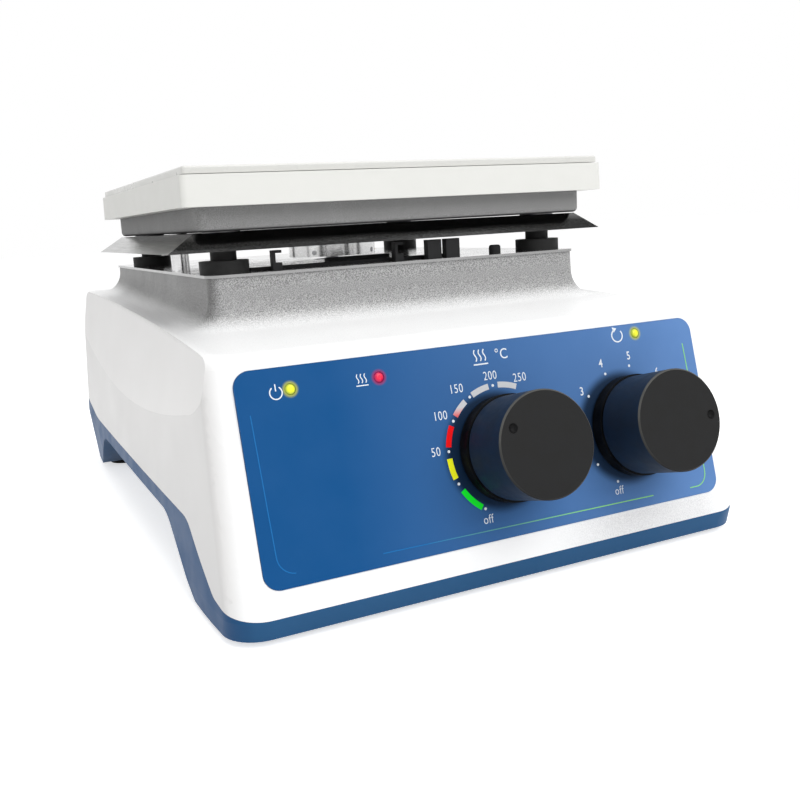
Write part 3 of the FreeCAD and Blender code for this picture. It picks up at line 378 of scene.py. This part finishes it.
def housing_white():
    """White moulding with painted shade: pale grey flanks, a grainy painted shadow of the knobs under
    the panel and grainy painted shade on the neck.
    """
    finish = Finish("housing_white", (252, 252, 252), 0.36, specular=0.25)
    finish.mottle(40, 0.25, (248, 249, 250))
    shade_flanks(finish)
    knob_shadow_strip(finish)
    neck_shade(finish)
    return finish.uneven_gloss(15, 0.05).bump(1.4, 0.015, 0.25)


def base_blue():
    """Blue moulding whose left side has painted shade, a little deeper there."""
    finish = Finish("base_blue", (40, 86, 128), 0.45, specular=0.12)
    # Painted shade: the left side is painted a deeper blue
    left = finish.ramp(finish.facing("X"), -0.9, -0.4, 1.0, 0.0)
    finish.blend(left, (30, 74, 118)).mottle(25, 0.35, (34, 78, 118))
    return finish.uneven_gloss(10, 0.06).bump(0.8, 0.02, 0.35)


def dome_middle(name):
    """Middle of a lamp's domed end, which stands farthest out of the panel."""
    points = [vertex.co for vertex in frame["nodes"][name].data.vertices]
    height = max(point.dot(panel_normal) for point in points)
    top = [point for point in points if point.dot(panel_normal) > height - 0.01 * MM]
    return sum(top, Vector()) / len(top)


def panel_blue():
    """Printed overlay, paler towards the right, with soft shade by the knobs and lamplight."""
    finish = Finish("panel_blue", (20, 80, 136), 0.42, specular=0.06)
    across = finish.ramp(finish.axis("X"), -50 * MM, 72 * MM, 0.0, 1.0)
    finish.blend(across, (98, 136, 190))
    finish.mottle(12, 0.1, (52, 98, 152))
    shade_to_left = panel_right * 2.8 * MM
    for centre in (heat_centre, stir_centre):
        away = finish.away_from(centre - shade_to_left)
        shade = finish.ramp(away, 15.2 * MM, 18.8 * MM, 0.88, 0.0, smooth=True)
        finish.blend(shade, (7, 18, 32))
    yellow, red = (196, 198, 52), (170, 36, 84)
    for name, levels in (("power_lamp", yellow), ("stir_lamp", yellow), ("hot_lamp", red)):
        away = finish.away_from(dome_middle(name))
        spill = finish.ramp(away, 1.6 * MM, 2.6 * MM, 0.7, 0.0, smooth=True)
        finish.blend(spill, levels)
    return finish.uneven_gloss(9, 0.05).bump(0.5, 0.01, 0.3)


def lamp(name, levels, rim, places):
    """Light pipe that is brightest in its middle; places holds the middle of each such lamp's dome."""
    finish = Finish(name, levels, 0.3, coat=0.2, specular=0.3)
    for middle in places:
        away = finish.away_from(middle)
        near = finish.ramp(away, 3.0 * MM, 3.1 * MM, 1.0, 0.0)
        edge = finish.ramp(away, 0.7 * MM, 1.6 * MM, 0.0, 1.0, smooth=True)
        finish.blend(finish.math("MULTIPLY", near, edge), rim)
    finish.mottle(1.2, 0.2, rim).bump(1.0, 0.02, 0.3)
    finish.link(finish.tint, finish.shader.inputs["Emission Color"])
    finish.set("Emission Strength", 0.3)
    return finish


def soft_rubber():
    finish = Finish("rubber_black", (30, 30, 31), 0.75, specular=0.15)
    return finish.mottle(2, 0.4, (40, 40, 41)).bump(0.4, 0.03, 0.6)


def circuit_green():
    finish = Finish("board_green", (30, 92, 52), 0.4)
    return finish.mottle(2.5, 0.6, (44, 116, 66), squeeze=(1, 3, 1)).bump(0.6, 0.02, 0.4)


def fibre():
    finish = Finish("insulation", (226, 222, 208), 0.95)
    return finish.mottle(1.5, 0.7, (206, 200, 182), squeeze=(1, 3, 1)).bump(0.8, 0.2, 0.8)


def mica():
    finish = Finish("mica", (196, 176, 128), 0.4)
    return finish.mottle(5, 0.7, (164, 140, 92)).bump(1.5, 0.03, 0.4)


def copper():
    finish = Finish("copper", (190, 108, 70), 0.35, metallic=1.0)
    finish.mottle(0.8, 0.6, (150, 78, 46), squeeze=(1, 1, 9))
    return finish.bump(0.6, 0.08, 0.6, squeeze=(0.2, 0.2, 3))


def fuse_glass():
    finish = Finish("fuse_glass", (232, 240, 240), 0.08)
    finish.set("Transmission Weight", 0.85)
    return finish.mottle(2, 0.2, (210, 220, 222)).bump(2, 0.01, 0.2)


def print_ink(name, levels):
    finish = Finish(name, levels, 0.5, specular=0.1)
    return finish.mottle(1.5, 0.15, darker(levels, 12)).bump(0.3, 0.005, 0.2)


finishes = {
    "plate_white": plate_white(),
    "skirt_white": skirt_white(),
    "pan_grey": pan_grey(),
    "tray_bright": tray_bright(),
    "spacer_black": black_moulding("spacer_black", (36, 36, 36), 0.55),
    "steel": plain_metal("steel", (168, 168, 170), 0.35),
    "bright_metal": plain_metal("bright_metal", (214, 214, 214), 0.2),
    "deck_bright": deck_bright(),
    "housing_white": housing_white(),
    "base_blue": base_blue(),
    "panel_blue": panel_blue(),
    "knob_black": knob_black(),
    "lamp_yellow": lamp("lamp_yellow", (222, 222, 34), (146, 164, 60),
                        [dome_middle("power_lamp"), dome_middle("stir_lamp")]),
    "lamp_red": lamp("lamp_red", (216, 16, 58), (150, 24, 82), [dome_middle("hot_lamp")]),
    "rubber_black": soft_rubber(),
    "plastic_black": black_moulding("plastic_black"),
    "board_green": circuit_green(),
    "copper": copper(),
    "iron": plain_metal("iron", (92, 92, 95), 0.5, grain=(1, 1, 20)),
    "brass": plain_metal("brass", (198, 168, 96), 0.3),
    "insulation": fibre(),
    "mica": mica(),
    "magnet": plain_metal("magnet", (190, 190, 192), 0.18),
    "fuse_glass": fuse_glass(),
}
for entry in frame["record"]["subparts"]:
    node = frame["nodes"][entry["node"]]
    for slot in node.material_slots:
        slot.material = finishes[entry["material_slot"]].material


# Printed marks on the panel
heat_dial = (0.4, knob_up)
stir_dial = (47.1, knob_up)
dial_radius = 18.65
dot_radius = 0.42
band_half = 0.85
figure_height = 2.6
fine_line, sign_line, bold_line = 0.26, 0.32, 0.42


def panel_point(s, t, out=0.0):
    """Point on the panel: s right of its middle and t up the slope in mm, out in metres."""
    middle = Vector((0, heat_centre.y, heat_centre.z))
    along = panel_right * s * MM + panel_up * (t - knob_up) * MM
    return middle + along + panel_normal * (panel_proud + out)


def piece_from(name, patches, finish):
    """One object from a list of (points, faces), where points are in the part's frame."""
    mesh = bpy.data.meshes.new(name)
    points = []
    faces = []
    for patch_points, patch_faces in patches:
        start = len(points)
        points.extend(patch_points)
        faces.extend([tuple(start + i for i in face) for face in patch_faces])
    mesh.from_pydata([tuple(p) for p in points], [], faces)
    mesh.validate()
    mesh.update()
    piece = bpy.data.objects.new(name, mesh)
    bpy.context.scene.collection.objects.link(piece)
    piece.data.materials.append(finish.material)
    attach(piece, BODY)


def printed(outline):
    """A closed prism of ink over a flat outline of (s, t) points, wound to the left."""
    n = len(outline)
    low = [panel_point(s, t) for s, t in outline]
    high = [panel_point(s, t, ink) for s, t in outline]
    faces = [tuple(range(n, 2 * n)), tuple(reversed(range(n)))]
    faces += [(i, (i + 1) % n, n + (i + 1) % n, n + i) for i in range(n)]
    return low + high, faces


def dot(s, t):
    """Round dot of ink."""
    corners = 20
    angles = [2 * math.pi * i / corners for i in range(corners)]
    return printed([(s + dot_radius * math.cos(a), t + dot_radius * math.sin(a)) for a in angles])


def around(centre, radius, angle):
    """Point at a clock angle, in degrees clockwise from straight up."""
    a = math.radians(angle)
    return (centre[0] + radius * math.sin(a), centre[1] + radius * math.cos(a))


def arc_band(start, end):
    """Curved band of ink on the heat dial, between two clock angles."""
    steps = 14
    angles = [start + (end - start) * i / steps for i in range(steps + 1)]
    inside = [around(heat_dial, dial_radius - band_half, a) for a in angles]
    outside = [around(heat_dial, dial_radius + band_half, a) for a in reversed(angles)]
    return printed(inside + outside)


def stroke(points, width):
    """A line of even width through (s, t) points, as one prism."""
    sides = []
    for i, point in enumerate(points):
        before = Vector(points[max(i - 1, 0)])
        after = Vector(points[min(i + 1, len(points) - 1)])
        along = (after - before).normalized()
        across = Vector((-along.y, along.x)) * width / 2
        sides.append((Vector(point) + across, Vector(point) - across))
    left = [tuple(a) for a, b in sides]
    right = [tuple(b) for a, b in sides]
    return printed(right + left[::-1])


def turn_points(centre, radius, start, end, steps):
    """Points along part of a circle, from one clock angle to another."""
    return [around(centre, radius, start + (end - start) * i / steps) for i in range(steps + 1)]


def lettering(text, s, t, height, narrow=0.8, weight=0.01):
    """Flat figures, centred on (s, t): height in mm, narrow their width, weight their boldness."""
    # A figure takes up this share of the font's size
    figure_share = 0.72
    curve = bpy.data.curves.new("figures_" + text, "FONT")
    curve.body = text
    curve.align_x = "CENTER"
    curve.align_y = "CENTER"
    curve.size = height * MM / figure_share
    curve.offset = weight * curve.size
    curve.space_character = 1.08
    curve.extrude = ink / 2
    curve.resolution_u = 4
    holder = bpy.data.objects.new("figures", curve)
    bpy.context.scene.collection.objects.link(holder)
    bpy.context.view_layer.update()
    mesh = bpy.data.meshes.new_from_object(holder)
    bpy.data.objects.remove(holder)
    centre = panel_point(s, t, ink / 2)
    points = [centre + panel_right * v.co.x * narrow + panel_up * v.co.y + panel_normal * v.co.z
              for v in mesh.vertices]
    faces = [tuple(polygon.vertices) for polygon in mesh.polygons]
    bpy.data.meshes.remove(mesh)
    return points, faces


def dial_marks():
    """Dots and figures of both dials. Long figures are set lighter than single ones."""
    heat_angles = (212.4, 246.6, 276.2, 303.4, 330.9, 357.1)
    stir_angles = (211.0, 238.5, 306.5, 336.5, 6.5, 36.5, 66.5, 96.5, 126.5)
    figures = (("50", -22.2, -0.7), ("100", -19.0, 9.1), ("150", -12.6, 16.0), ("200", -0.9, 18.4),
               ("250", 8.9, 16.7), ("off", -9.2, -22.0), ("3", 29.9, 9.7), ("4", 38.6, 17.3),
               ("5", 49.6, 18.5), ("6", 59.6, 12.2), ("off", 37.4, -21.9))
    marks = []
    for dial, angles in ((heat_dial, heat_angles), (stir_dial, stir_angles)):
        for angle in angles:
            marks.append(dot(*around(dial, dial_radius, angle)))
    for text, s, t in figures:
        marks.append(lettering(text, s, t, figure_height, weight=-0.004 if len(text) > 1 else 0.01))
    return marks


def power_sign(s, t):
    """Ring with an upright line."""
    ring = turn_points((s, t), 1.7, 35, 325, 18)
    return [stroke(ring, sign_line), stroke([(s, t + 0.4), (s, t + 2.3)], sign_line)]


def heat_sign(s, t, scale=1.0):
    """Three rising waves over a line."""
    strokes = []
    for i in (-1, 0, 1):
        wave = [(i * 1.5 + 0.35 * math.sin(k * math.pi / 4), -1.3 + k * 0.42) for k in range(9)]
        strokes.append(stroke([(s + x * scale, t + y * scale) for x, y in wave], 0.36 * scale))
    ground = [(s + x * scale, t - 2.2 * scale) for x in (-2.4, 2.4)]
    strokes.append(stroke(ground, 0.4 * scale))
    return strokes


def stir_sign(s, t):
    """Open ring that ends in an arrow head."""
    ring = turn_points((s, t), 2.0, 50, 330, 18)
    tip_s, tip_t = ring[-1]
    head = [(tip_s + 1.15, tip_t + 0.45), (tip_s - 0.5, tip_t + 1.0), (tip_s - 0.05, tip_t - 0.75)]
    return [stroke(ring, bold_line), printed(head)]


pale = (206, 208, 212)
# Coloured bands of the heat dial: name, colour, start angle, end angle, reddish at its foot
heat_arcs = (
    ("arc_green", (20, 250, 50), 215.5, 239.7, False),
    ("arc_yellow", (246, 248, 36), 251.7, 270.0, False),
    ("arc_red", (238, 18, 22), 279.9, 298.7, False),
    ("arc_pale", pale, 308.3, 324.8, True),
    ("arc_pale", pale, 333.8, 352.5, False),
    ("arc_pale", pale, 2.2, 21.5, False),
)


def frame_line():
    """Thin line round the panel in three stretches: left side, foot and right side."""
    left = [(-72.9, 16.9), (-72.6, 5.0), (-72.3, -8.0), (-72.0, -19.5)]
    left += turn_points((-67.0, -19.9), 5.0, 270, 185, 8)
    foot_start, foot_length, foot_drop, steps = -42.7, 92.6, 0.7, 12
    middle = [(foot_start + foot_length * i / steps, -24.9 - foot_drop * i / steps)
              for i in range(steps + 1)]
    right = [(64.8, -25.8)] + turn_points((67.6, -21.6), 4.2, 175, 92, 8)
    right += [(72.0, -10.0), (72.0, 11.4), (71.8, 20.1)]
    return left, middle, right


def line_ink():
    """Ink that goes from blue at the left to green at the right."""
    finish = print_ink("ink_line", (30, 112, 178))
    across = finish.ramp(finish.axis("X"), -30 * MM, 30 * MM, 0.0, 1.0)
    return finish.blend(across, (150, 228, 116))


white_ink = print_ink("ink_white", (232, 238, 244))
marks = dial_marks() + power_sign(-65.2, 21.8) + heat_sign(-40.8, 22.3, 0.75)
marks += heat_sign(-3.2, 24.3) + [lettering("°C", 4.0, 24.2, 3.1, 0.9, 0.0)] + stir_sign(46.6, 25.3)
piece_from("panel_marks", marks, white_ink)
for index, (name, levels, start, end, reddish_foot) in enumerate(heat_arcs):
    ink_finish = print_ink("ink_%s_%d" % (name, index), levels)
    if reddish_foot:
        foot = panel_point(*around(heat_dial, dial_radius, start)).z
        red = ink_finish.ramp(ink_finish.axis("Z"), foot, foot + 2.2 * MM, 0.9, 0.0)
        ink_finish.blend(red, (232, 84, 84))
    piece_from("%s_%d" % (name, index), [arc_band(start, end)], ink_finish)
lines = [stroke(points, fine_line) for points in frame_line()]
piece_from("panel_line", lines, line_ink())


# Studio
world_light = 0.44
floor_glow = 0.62


def camera():
    """Camera at the photograph's place, with its slight roll."""
    azimuth = math.radians(camera_azimuth)
    drop = math.radians(camera_drop)
    roll = math.radians(camera_roll)
    level = Vector((math.sin(azimuth), math.cos(azimuth), 0))
    ahead = level * math.cos(drop) - Vector((0, 0, math.sin(drop)))
    right = ahead.cross(Vector((0, 0, 1))).normalized()
    down = ahead.cross(right).normalized()
    x_axis = right * math.cos(roll) + down * math.sin(roll)
    y_axis = right * math.sin(roll) - down * math.cos(roll)
    data = bpy.data.cameras.new("camera")
    data.sensor_width = 36.0
    data.lens = camera_lens
    data.clip_start = 0.01
    eye = bpy.data.objects.new("camera", data)
    bpy.context.scene.collection.objects.link(eye)
    place = Matrix((x_axis, y_axis, -ahead)).transposed().to_4x4()
    place.translation = Vector(camera_place) * MM + Vector((0, axis_y, 0))
    eye.matrix_world = place
    bpy.context.scene.camera = eye


def softbox(name, place, target, size, power):
    """Large soft lamp that looks at a target."""
    data = bpy.data.lights.new(name, "AREA")
    data.shape = "RECTANGLE"
    data.size, data.size_y = size
    data.energy = power
    lamp_object = bpy.data.objects.new(name, data)
    bpy.context.scene.collection.objects.link(lamp_object)
    lamp_object.location = place
    lamp_object.rotation_euler = (Vector(target) - Vector(place)).to_track_quat("-Z", "Y").to_euler()


def seen_rays(tree):
    """Socket that is 1 for camera, glossy and transmission rays, and 0 for light on the object."""
    path = tree.nodes.new("ShaderNodeLightPath")
    seen = path.outputs["Is Camera Ray"]
    for kind in ("Is Glossy Ray", "Is Transmission Ray"):
        either = tree.nodes.new("ShaderNodeMath")
        either.operation = "MAXIMUM"
        tree.links.new(seen, either.inputs[0])
        tree.links.new(path.outputs[kind], either.inputs[1])
        seen = either.outputs[0]
    return seen


def glow_of(node, strength):
    """Make a background or emission node white, with the given strength."""
    node.inputs["Color"].default_value = (1, 1, 1, 1)
    node.inputs["Strength"].default_value = strength
    return node.outputs[0]


def switch(tree, unseen, seen):
    """One shader for light on the object and another for the rays that are seen."""
    mix = tree.nodes.new("ShaderNodeMixShader")
    tree.links.new(seen_rays(tree), mix.inputs[0])
    tree.links.new(unseen, mix.inputs[1])
    tree.links.new(seen, mix.inputs[2])
    return mix.outputs[0]


def world():
    """Even light all round, seen as plain white."""
    world_data = bpy.data.worlds.new("studio")
    bpy.context.scene.world = world_data
    world_data.use_nodes = True
    tree = world_data.node_tree
    light = glow_of(tree.nodes["Background"], world_light)
    white = glow_of(tree.nodes.new("ShaderNodeBackground"), 1.0)
    tree.links.new(switch(tree, light, white), tree.nodes["World Output"].inputs["Surface"])


def floor():
    """Pale floor that keeps the object's shadow and is otherwise seen as white."""
    mesh = bpy.data.meshes.new("floor")
    reach = 6.0
    corners = [(-reach, -reach, 0), (reach, -reach, 0), (reach, reach, 0), (-reach, reach, 0)]
    mesh.from_pydata(corners, [], [(0, 1, 2, 3)])
    ground = bpy.data.objects.new("floor", mesh)
    bpy.context.scene.collection.objects.link(ground)
    material = bpy.data.materials.new("floor")
    material.use_nodes = True
    tree = material.node_tree
    shader = tree.nodes["Principled BSDF"]
    shader.inputs["Base Color"].default_value = (0.85, 0.85, 0.85, 1)
    shader.inputs["Roughness"].default_value = 0.9
    shader.inputs["Specular IOR Level"].default_value = 0.1
    dark = glow_of(tree.nodes.new("ShaderNodeEmission"), 0.0)
    white = glow_of(tree.nodes.new("ShaderNodeEmission"), floor_glow)
    add = tree.nodes.new("ShaderNodeAddShader")
    tree.links.new(shader.outputs[0], add.inputs[0])
    tree.links.new(switch(tree, dark, white), add.inputs[1])
    tree.links.new(add.outputs[0], tree.nodes["Material Output"].inputs["Surface"])
    ground.data.materials.append(material)


camera()
world()
floor()
aim = (0.0, 0.0, 0.06)
softbox("overhead", (0.1, -0.1, 1.3), aim, (1.2, 1.2), 7.0)
softbox("front", (0.35, -1.25, 0.95), aim, (1.3, 0.9), 13.0)
softbox("left", (-1.3, -0.2, 0.6), aim, (0.8, 0.8), 2.8)
bpy.context.scene.view_settings.view_transform = "Standard"
